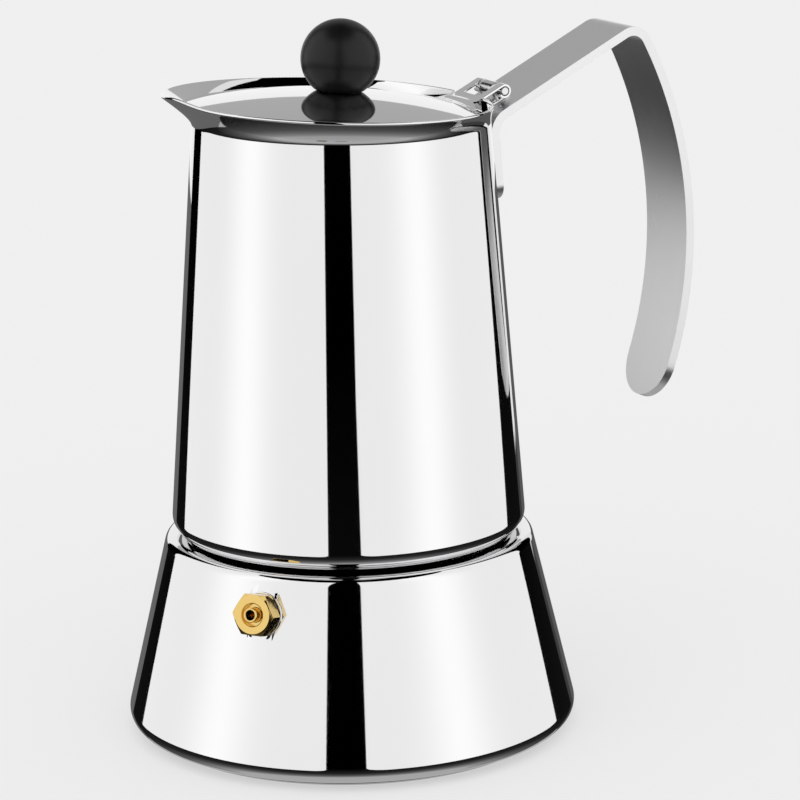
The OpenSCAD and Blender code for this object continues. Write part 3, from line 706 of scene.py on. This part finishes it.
def flareOutline(angle):
    # outer face from the rounded foot to the rim at one angle, then back down the inner face
    c = collector
    t = abs((angle % 360) - 180)  # from the spout
    share = (1 + math.cos(math.pi * (t / 180) ** c["reachCurve"])) / 2
    rimR = rimBackR + (c["throatR"] + c["reach"] - rimBackR) * share
    rise = rimBackH + c["rimRise"] * ((1 + math.cos(math.radians(t))) / 2) ** c["riseCurve"] - throatH
    lip = c["lip"] * math.exp(-((t / c["lipSpread"]) ** 2))
    outer = arc(collectorC, c["round"], -90, collectorLean, 16)
    outer += line(outer[-1], (c["throatR"], throatH), c["coneRows"])[1:]
    for i in range(1, c["flareRows"] + 1):
        s = i / c["flareRows"]
        bend = max(0, s - c["flareFrom"]) / (1 - c["flareFrom"])
        reach = (rimR - c["throatR"] + rise * leanTan) * bend ** c["flareCurve"]
        r = c["throatR"] - rise * s * leanTan + reach
        outer.append((r, throatH + rise * s + lip * s ** 6))
    p = np.array(outer)
    d = np.gradient(p, axis=0)
    d[0] = (1, 0)
    d /= np.linalg.norm(d, axis=1, keepdims=True)
    normal = np.stack([d[:, 1], -d[:, 0]], -1)
    inner = p - normal * c["sheet"]
    half = c["sheet"] / 2
    middle = p[-1] - normal[-1] * half
    cap = [tuple(middle + half * (normal[-1] * math.cos(a) + d[-1] * math.sin(a)))
           for a in np.radians([30, 60, 90, 120, 150])]
    return ([(c["flangeR"], footH)] + [tuple(q) for q in p] + cap + [tuple(q) for q in inner[::-1]]
            + [(c["flangeR"], footH + c["sheet"])])


notch = {"x": (29.4, 41.4), "half": 7.4, "foot": rimBackH - 3.2}
collectorMesh = carve(turned("collectorShell", flareOutline, 288), [
    ("DIFFERENCE", box("notch", (notch["x"][0], -notch["half"], notch["foot"]),
                       (notch["x"][1], notch["half"], notch["foot"] + 9)))])
collectorPiece = piece("collectorShell", collectorMesh, "collector", ["collector_shell"],
                       [steel["mirrorSteel"], steel["insideSteel"]])
paintInside(collectorPiece, lambda c, n: n.x * c.x + n.y * c.y < -0.2 * c.xy.length and c.z < throatH - 4)

floorOutline = rounded([(37.2, seatH), (37.2, seatH + 0.8), (30.5, seatH + 0.8), (6, seatH + 6.6),
                        (6, seatH + 5.8), (30, seatH)], 0.6, 5)
piece("collectorFloor", turned("collectorFloor", floorOutline, 160), "collector", ["collector_floor"],
      [steel["insideSteel"]])

riser = {"footR": 6.0, "topR": 4.5, "tube": 0.8, "top": seatH + 46, "foot": seatH + 4.8, "neck": 8}
riserNeck = riser["top"] - riser["neck"]
tubeOutline = rounded([(riser["footR"] - riser["tube"], riser["foot"]), (riser["footR"], riser["foot"]),
                       (riser["topR"], riserNeck), (riser["topR"], riser["top"]),
                       (riser["topR"] - riser["tube"], riser["top"]),
                       (riser["topR"] - riser["tube"], riserNeck)], 0.15)
slots = [("DIFFERENCE", box("slot", (min(side * 2, side * 7), -1.8, riser["top"] - 6),
                            (max(side * 2, side * 7), 1.8, riser["top"] - 2))) for side in (-1, 1)]
piece("riserTube", carve(turned("riserTube", tubeOutline, 96), slots), "collector", ["riser_tube"],
      [steel["insideSteel"]])
top = riser["top"]
hoodOutline = rounded([(0, top + 0.05), (4.52, top + 0.05), (4.52, top - 1.6), (5.3, top - 1.6), (5.3, top),
                       (6.7, top - 2.4), (7.5, top - 2), (6.3, top + 1.2), (3.5, top + 2.4),
                       (0, top + 2.8)], 0.6, 5)
piece("riserCap", turned("riserCap", hoodOutline, 96), "collector", ["riser_cap"], [steel["stampedSteel"]])
print("collector made")


# ---- strap handle: a sheet along its centre line
strap = {"width": 19.0, "t": 2.2, "rise": 26.6, "leg": 19.7, "legRound": 4.0, "rimBend": 5.1, "topBend": 4.4,
         "gripR": 103.9, "gripReach": 93.0, "midDrop": 33.5, "tipDrop": 75.5, "saddle": 0.5, "edge": 0.32,
         "across": 18}
hinge = {"pin": np.array([collector["throatR"] - 2.5 + 7.5, rimBackH + 1.2]), "pinR": 1.0, "tab": 0.7,
         "tabW": 13.4, "windowW": 8.0, "overStrap": 2.75, "eyeR": 1.75}


def crossPoint(m, j, n, k):
    return np.linalg.solve(np.array([m, n]), np.array([j, k]))


def strapLine():
    s, half = strap, strap["t"] / 2
    legN, armN, armD = turn(collectorLean), turn(90 + s["rise"]), turn(s["rise"])
    legK = legN @ np.array([collector["throatR"], throatH]) - s["saddle"] + half
    armK = armN @ hinge["pin"] - hinge["overStrap"] - half
    rimC = crossPoint(legN, legK + s["rimBend"], armN, armK - s["rimBend"])
    gripC = np.array([s["gripReach"] - half - s["gripR"], throatH - s["midDrop"]])
    start, reach = armN * (armK - s["topBend"]), s["gripR"] - s["topBend"]
    b = armD @ (start - gripC)
    topC = start + (-b + math.sqrt(b * b - (start - gripC) @ (start - gripC) + reach * reach)) * armD
    gripA = math.degrees(math.atan2(*(topC - gripC)[::-1]))
    tipA = math.degrees(math.asin((s["midDrop"] - s["tipDrop"]) / s["gripR"]))
    foot = crossPoint(legN, legK, (0, 1), throatH - s["leg"])
    rimBend = arc(rimC, s["rimBend"], 180 + collectorLean, 90 + s["rise"], 14)
    topBend = arc(topC, s["topBend"], 90 + s["rise"], gripA, 16)
    return ([tuple(foot)], rimBend, topBend, arc(gripC, s["gripR"], gripA, tipA, 60)[1:])


def measured(points):
    gaps = np.linalg.norm(np.diff(np.array(points), axis=0), axis=1)
    return np.concatenate([[0], np.cumsum(gaps)])


def strapMesh():
    foot, rimBend, topBend, grip = strapLine()
    path = (line(foot[0], rimBend[0], 20)[:-1] + rimBend[:-1] + line(rimBend[-1], topBend[0], 34)[:-1]
            + topBend + grip)
    far = measured(path)
    whole = far[-1]
    half, r, n = strap["width"] / 2, strap["legRound"], strap["across"]
    ends = [r * (1 - math.cos(a)) for a in np.radians(range(0, 91, 10))]
    tips = [whole - half * (1 - math.sin(a)) for a in np.radians(range(0, 91, 6))]
    stations = sorted(set(ends) | {float(f) for f in far if ends[-1] < f < tips[0] - 0.2} | set(tips))
    x = np.interp(stations, far, np.array(path)[:, 0])
    z = np.interp(stations, far, np.array(path)[:, 1])
    verts, index = [], []
    for s, px, pz in zip(stations, x, z):
        if s < r:
            w = half - r + math.sqrt(max(0, r * r - (r - s) ** 2))
        elif s > whole - half:
            w = math.sqrt(max(0, half * half - (s - whole + half) ** 2))
        else:
            w = half
        if w < 1e-3:
            index.append([len(verts)] * (n + 1))
            verts.append((px, 0, pz))
        else:
            index.append(list(range(len(verts), len(verts) + n + 1)))
            verts += [(px, w * (2 * k / n - 1), pz) for k in range(n + 1)]
    faces = []
    for a, b in zip(index, index[1:]):
        for k in range(n):
            face = [a[k], b[k], b[k + 1], a[k + 1]]
            faces.append([v for at, v in enumerate(face) if v not in face[:at]])
    return makeMesh("strap", verts, faces)


strapObj = plain("strapSheet", strapMesh())
softened(strapObj, strap["edge"], 3, 50, strap["t"], 0.0)
strapData = strapObj.data
bpy.data.objects.remove(strapObj)
piece("strapHandle", strapData, "collector", ["handle"], [steel["satinSteel"]])
print("strap handle made")


# ---- lid: domed sheet whose tab is rolled round the hinge pin
lid = {"r": 35.7, "rise": 4.05, "tilt": 3.8, "sheet": 0.6, "x": -0.7, "z": rimBackH - 0.1, "back": 33.4,
       "hole": 2.1, "rings": 34, "columns": 144, "edge": 0.14, "ramp": 4.5, "shoulder": 4.0}
domeR = (lid["r"] ** 2 + lid["rise"] ** 2) / (2 * lid["rise"])
lidCx = lid["back"] - lid["r"]
atLid = Matrix.Translation((lid["x"], 0, lid["z"])) @ Matrix.Rotation(math.radians(lid["tilt"]), 4, "Y")
tabFoot = np.array([lid["back"] + 0.1, rimBackH - 0.5])
toPin = hinge["pin"] - tabFoot
tabDir = math.degrees(math.atan2(toPin[1], toPin[0]) + math.asin(hinge["eyeR"] / np.linalg.norm(toPin)))
tabLen = math.sqrt(toPin @ toPin - hinge["eyeR"] ** 2)


def smoothStep(x):
    x = max(0.0, min(1.0, x))
    return x * x * (3 - 2 * x)


def domePoint(x, y):
    # a point of the lid's top face over (x, y) in the lid's own frame, in the row frame
    p = atLid @ Vector((x, y, lid["rise"] - domeR + math.sqrt(domeR ** 2 - x * x - y * y)))
    fade = 1 - smoothStep((abs(p.y) - hinge["tabW"] / 2) / lid["shoulder"])
    slope = math.tan(math.radians(lid["tilt"] + 12))
    lift = tabFoot[1] - (p.z - (tabFoot[0] - p.x) * slope)
    past = p.x - tabFoot[0] + lid["ramp"]
    p.z += lift * smoothStep(past / lid["ramp"]) * fade
    return p


def lidMesh():
    halfTab, halfWindow = hinge["tabW"] / 2, hinge["windowW"] / 2
    edgeA = math.degrees(math.asin(halfTab / lid["r"]))
    windowA = math.degrees(math.asin(halfWindow / lid["r"]))
    tabAngles = sorted([-edgeA, edgeA, -windowA, windowA, 0] + [k * s for s in (1, -1) for k in (
        windowA / 3, windowA * 2 / 3, (windowA + edgeA) / 2)])
    rest = lid["columns"]
    angles = tabAngles + [edgeA + (360 - 2 * edgeA) * k / rest for k in range(1, rest)]
    sides = len(angles)
    verts, index = [], []
    for j in range(lid["rings"] + 1):
        share = j / lid["rings"]
        r = lid["hole"] + (lid["r"] - lid["hole"]) * share
        row = []
        for a in angles:
            d = turn(a)
            row.append(len(verts))
            verts.append(tuple(domePoint(lidCx * share + r * d[0], r * d[1])))
        index.append(row)
    faces = []
    for a, b in zip(index, index[1:]):
        for i in range(sides):
            n = (i + 1) % sides
            faces.append((a[i], b[i], b[n], a[n]))
    # the tab: down the ramp, along the leaf, round the pin
    along, over = turn(tabDir), turn(tabDir + 90)
    leaf = [tabFoot + along * tabLen * k / 8 for k in range(9)]
    roll = [hinge["pin"] + hinge["eyeR"] * turn(tabDir + 90 - k * 11) for k in range(1, 25)]
    path = leaf + roll
    last = [index[-1][i] for i in range(len(tabAngles))]
    ys = [verts[v][1] for v in last]
    windowFrom = 3
    for k, p in enumerate(path):
        row = []
        for y in ys:
            row.append(len(verts))
            verts.append((p[0], y, p[1]))
        for i in range(len(ys) - 1):
            mid = (ys[i] + ys[i + 1]) / 2
            if k < windowFrom or abs(mid) > halfWindow:
                faces.append((last[i], row[i], row[i + 1], last[i + 1]))
        last = row
    mesh = makeMesh("lid", verts, faces)
    work = bmesh.new()
    work.from_mesh(mesh)
    loose = [v for v in work.verts if not v.link_faces]
    bmesh.ops.delete(work, geom=loose, context="VERTS")
    work.to_mesh(mesh)
    work.free()
    return mesh


lidObj = plain("lidSheet", lidMesh())
softened(lidObj, lid["edge"], 2, 45, lid["sheet"], -1.0)
lidData = lidObj.data
bpy.data.objects.remove(lidObj)
piece("lid", lidData, "lid", ["lid"], [steel["mirrorSteel"]])


# ---- hinge bracket and pin
def strip(name, path, width, rows=6):
    # a sheet as wide as width along Y that follows a path of the XZ plane
    verts = [(p[0], width * (k / rows - 0.5), p[1]) for p in path for k in range(rows + 1)]
    step = rows + 1
    faces = [(i * step + k, (i + 1) * step + k, (i + 1) * step + k + 1, i * step + k + 1)
             for i in range(len(path) - 1) for k in range(rows)]
    return makeMesh(name, verts, faces)


def bracketMesh():
    armN, armD = turn(90 + strap["rise"]), turn(strap["rise"])
    root = hinge["pin"] - hinge["overStrap"] * armN
    width = hinge["windowW"] - 0.6
    upright = hinge["pin"] - hinge["eyeR"] * armD
    rise = line(upright - armN * (hinge["overStrap"] - 0.3), upright, 4)
    roll = [tuple(hinge["pin"] + hinge["eyeR"] * turn(180 + strap["rise"] - k * 11)) for k in range(1, 27)]
    leaf = line(root - 3.8 * armD + 0.7 * armN, root + 2 * armD + 0.7 * armN, 6)
    parts = []
    for name, path in (("roll", rise + roll), ("leaf", leaf)):
        obj = plain(name, strip(name, path, width))
        softened(obj, 0.12, 2, 45, hinge["tab"] - 0.02, -1.0)
        parts.append(obj.data)
        bpy.data.objects.remove(obj)
    work = bmesh.new()
    for mesh in parts:
        work.from_mesh(mesh)
    joined = bpy.data.meshes.new("bracket")
    work.to_mesh(joined)
    work.free()
    joined.polygons.foreach_set("use_smooth", [True] * len(joined.polygons))
    joined.set_sharp_from_angle(angle=math.radians(30))
    return joined


piece("hingeBracket", bracketMesh(), "collector", ["hinge_bracket"], [steel["stampedSteel"]])
pinHalf = hinge["tabW"] / 2 + 0.1
pinProfile = rounded([(0, -pinHalf), (hinge["pinR"], -pinHalf), (hinge["pinR"], pinHalf), (0, pinHalf)], 0.25)
pinPlace = (Matrix.Translation((hinge["pin"][0], 0, hinge["pin"][1]))
            @ Matrix.Rotation(math.radians(90), 4, "X"))
piece("hingePin", turned("hingePin", pinProfile, 64, pinPlace), "collector", ["hinge_pin"],
      [steel["stampedSteel"]])

# ---- ball knob
knob = {"r": 9.5, "footR": 5.65, "boreR": 3.2, "bore": 9.0}
knobMid = lid["rise"] + math.sqrt(knob["r"] ** 2 - knob["footR"] ** 2)
footA = -math.degrees(math.acos(knob["footR"] / knob["r"]))
ball = arc((0, knobMid), knob["r"], footA + 2.5, 90, 56)
ball[-1] = (0, knobMid + knob["r"])
knobOutline = ([(0, lid["rise"] + knob["bore"]), (knob["boreR"], lid["rise"] + knob["bore"]),
                (knob["boreR"], lid["rise"])]
               + [(knob["footR"] - 0.35, lid["rise"]), (knob["footR"] - 0.1, lid["rise"] + 0.06),
                  (knob["footR"] + 0.08, lid["rise"] + 0.18)] + ball)
piece("knob", turned("knob", knobOutline, 128, atLid), "lid", ["knob"], [bakelite])
print("lid, hinge and knob made")

# ---- small pieces that stay as the frame has them
carried = {"heat_disc": steel["aluminium"], "valve_seal": blackRubber, "valve_washer": steel["stampedSteel"],
           "valve_nut": steel["brass"], "valve_seat": steel["brass"], "knob_insert": steel["brass"],
           "knob_screw": steel["stampedSteel"], "knob_washer": steel["stampedSteel"]}
for nodeName, material in carried.items():
    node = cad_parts[nodeName]
    node.data.materials.clear()
    node.data.materials.append(material)

# ---- camera
camera = {"distance": 0.8, "height": 0.27663561, "focus": 3387.10719, "image": 800.0, "sensor": 36.0,
          "yaw": 0.0162099793, "pitch": 0.240190211, "roll": -0.0154553352, "turned": -26.0}


def makeCamera():
    c = camera
    yaw, pitch, roll = c["yaw"], c["pitch"], c["roll"]
    ahead = Vector((math.sin(yaw) * math.cos(pitch), math.cos(yaw) * math.cos(pitch), -math.sin(pitch)))
    right = Vector((math.cos(yaw), -math.sin(yaw), 0))
    up = right.cross(ahead)
    r = math.cos(roll) * right + math.sin(roll) * up
    u = -math.sin(roll) * right + math.cos(roll) * up
    pose = Matrix((r, u, -ahead)).transposed().to_4x4()
    pose.translation = Vector((0, -c["distance"], c["height"]))
    data = bpy.data.cameras.new("camera")
    data.sensor_width = c["sensor"]
    data.lens = c["focus"] / c["image"] * c["sensor"]
    data.clip_start, data.clip_end = 0.01, 50
    obj = plain("camera", data)
    obj.matrix_world = Matrix.Rotation(math.radians(c["turned"]), 4, "Z") @ pose
    scene.camera = obj


makeCamera()

# ---- studio: plain floor and light, with white and black cards that only polished metal sees
studio = {"pale": 0.868, "worldLight": 0.84, "mirrorSky": 0.46, "sun": 0.62, "sunSpread": 70.0,
          "cardR": 0.62, "facing": -116.0,
          "topR": 0.75, "topH": 1.15, "floorGlow": 0.6}
# each card: from and to in degrees round the object from the camera's side, rows of height in metres and
# level, and the width in degrees and height in metres of its rounded lower corners
cards = [
    (-131.0, -13.0, [(-0.12, 1.02), (1.15, 1.02)], (7.0, 0.09)),
    (6.0, 124.0, [(-0.12, 1.02), (1.15, 1.02)], (12.0, 0.16)),
    (-13.0, 6.0, [(-0.12, 0.0), (1.6, 0.0)], None),
    (124.0, 146.0, [(-0.34, 0.0), (1.15, 0.0)], None),
    (-148.0, -131.0, [(-0.34, 0.0), (1.15, 0.0)], None),
    (146.0, 152.0, [(-0.34, 0.05), (-0.07, 0.05), (-0.06, 0.9), (1.15, 0.9)], None),
    (152.0, 170.0, [(-0.34, 0.1), (0.04, 0.1)], None),
    (-170.0, -148.0, [(-0.34, 0.14), (0.04, 0.14)], None),
    (170.0, 190.0, [(-0.34, 0.22), (0.04, 0.22)], None),
    (152.0, 212.0, [(0.04, 0.98), (0.3, 0.98)], None),
    (-148.0, 146.0, [(-1.1, 0.4), (-0.6, 0.1), (-0.34, 0.02), (0.06, 0.0)], None),
]
# brighter upright stripes on the white cards: middle and spread in degrees, added level
stripes = [(-70.0, 17.0, 0.19), (54.0, 17.0, 0.19)]


def glow(name):
    material, graph = newMaterial(name)
    level = graph.add("ShaderNodeAttribute", {"attribute_name": "level"}, output="Color")
    shader = graph.add("ShaderNodeEmission", inputs={"Color": level, "Strength": 1.0})
    graph.add("ShaderNodeOutputMaterial", inputs={"Surface": shader})
    return material


def makeCard(name, verts, faces, levels):
    obj = plain(name, makeMesh(name, verts, faces))
    obj.data.color_attributes.new("level", "FLOAT_COLOR", "POINT").data.foreach_set("color", levels)
    obj.data.materials.append(glow(name))
    obj.visible_camera = obj.visible_diffuse = obj.visible_shadow = False
    obj.visible_transmission = obj.visible_volume_scatter = False


def makeCards():
    for number, (start, stop, rows, corner) in enumerate(cards):
        steps = max(2, int(abs(stop - start)))
        verts, levels = [], []
        radius = (studio["cardR"] + 0.01 * (corner is None)) / mm
        for k in range(steps + 1):
            at = start + (stop - start) * k / steps
            a = math.radians(studio["facing"] + at)
            lift = 0.0
            if corner:
                near = max(0, 1 - min(at - start, stop - at) / corner[0])
                lift = corner[1] * (1 - math.sqrt(1 - near * near))
            for row, (z, level) in enumerate(rows):
                bright = level + (level > 1) * sum(more * math.exp(-((at - middle) / spread) ** 2)
                                                   for middle, spread, more in stripes)
                verts.append((radius * math.cos(a), radius * math.sin(a), (z + lift * (row == 0)) / mm))
                levels += [bright, bright, bright, 1]
        high = len(rows)
        faces = [(high * k + j, high * (k + 1) + j, high * (k + 1) + j + 1, high * k + j + 1)
                 for k in range(steps) for j in range(high - 1)]
        makeCard(f"card{number}", verts, faces, levels)
    ring = [(studio["topR"] / mm * math.cos(a), studio["topR"] / mm * math.sin(a), studio["topH"] / mm)
            for a in np.linspace(0, 2 * math.pi, 49)[:-1]]
    makeCard("cardAbove", ring, [list(range(len(ring)))], [0, 0, 0, 1] * len(ring))


def makeFloor():
    ring = [(6000 * math.cos(a), 6000 * math.sin(a), 0) for a in np.linspace(0, 2 * math.pi, 65)[:-1]]
    obj = plain("floor", makeMesh("floor", ring, [list(range(64))]))
    material, graph = newMaterial("floor")
    pale = studio["pale"]
    shader = graph.add("ShaderNodeBsdfDiffuse", inputs={"Color": (pale, pale, pale, 1)})
    own = graph.add("ShaderNodeEmission", inputs={"Color": (pale, pale, pale, 1), "Strength": 1.0})
    seen = graph.add("ShaderNodeLightPath", output="Is Camera Ray") * studio["floorGlow"]
    both = graph.add("ShaderNodeMixShader", inputs={0: seen, 1: shader, 2: own})
    graph.add("ShaderNodeOutputMaterial", inputs={"Surface": both})
    obj.data.materials.append(material)
    obj.visible_glossy = False


def makeLight():
    world = bpy.data.worlds.new("studio")
    scene.world = world
    world.use_nodes = True
    world.node_tree.nodes.clear()
    graph = Graph(world.node_tree)
    ray = graph.add("ShaderNodeLightPath", output="Is Camera Ray")
    mirror = graph.also(ray, "Is Glossy Ray")
    plainRay = (1 - ray) * (1 - mirror)
    level = ray * studio["pale"] + mirror * studio["mirrorSky"] + plainRay * studio["worldLight"]
    shader = graph.add("ShaderNodeBackground", inputs={"Color": (1, 1, 1, 1), "Strength": level})
    graph.add("ShaderNodeOutputWorld", inputs={"Surface": shader})
    data = bpy.data.lights.new("sun", "SUN")
    data.energy, data.angle = studio["sun"], math.radians(studio["sunSpread"])
    lamp = plain("sun", data)
    lamp.matrix_world = Matrix.Rotation(math.radians(30), 4, "X") @ Matrix.Rotation(math.radians(-20), 4, "Y")
    lamp.visible_glossy = False


makeCards()
makeFloor()
makeLight()
print("studio made")
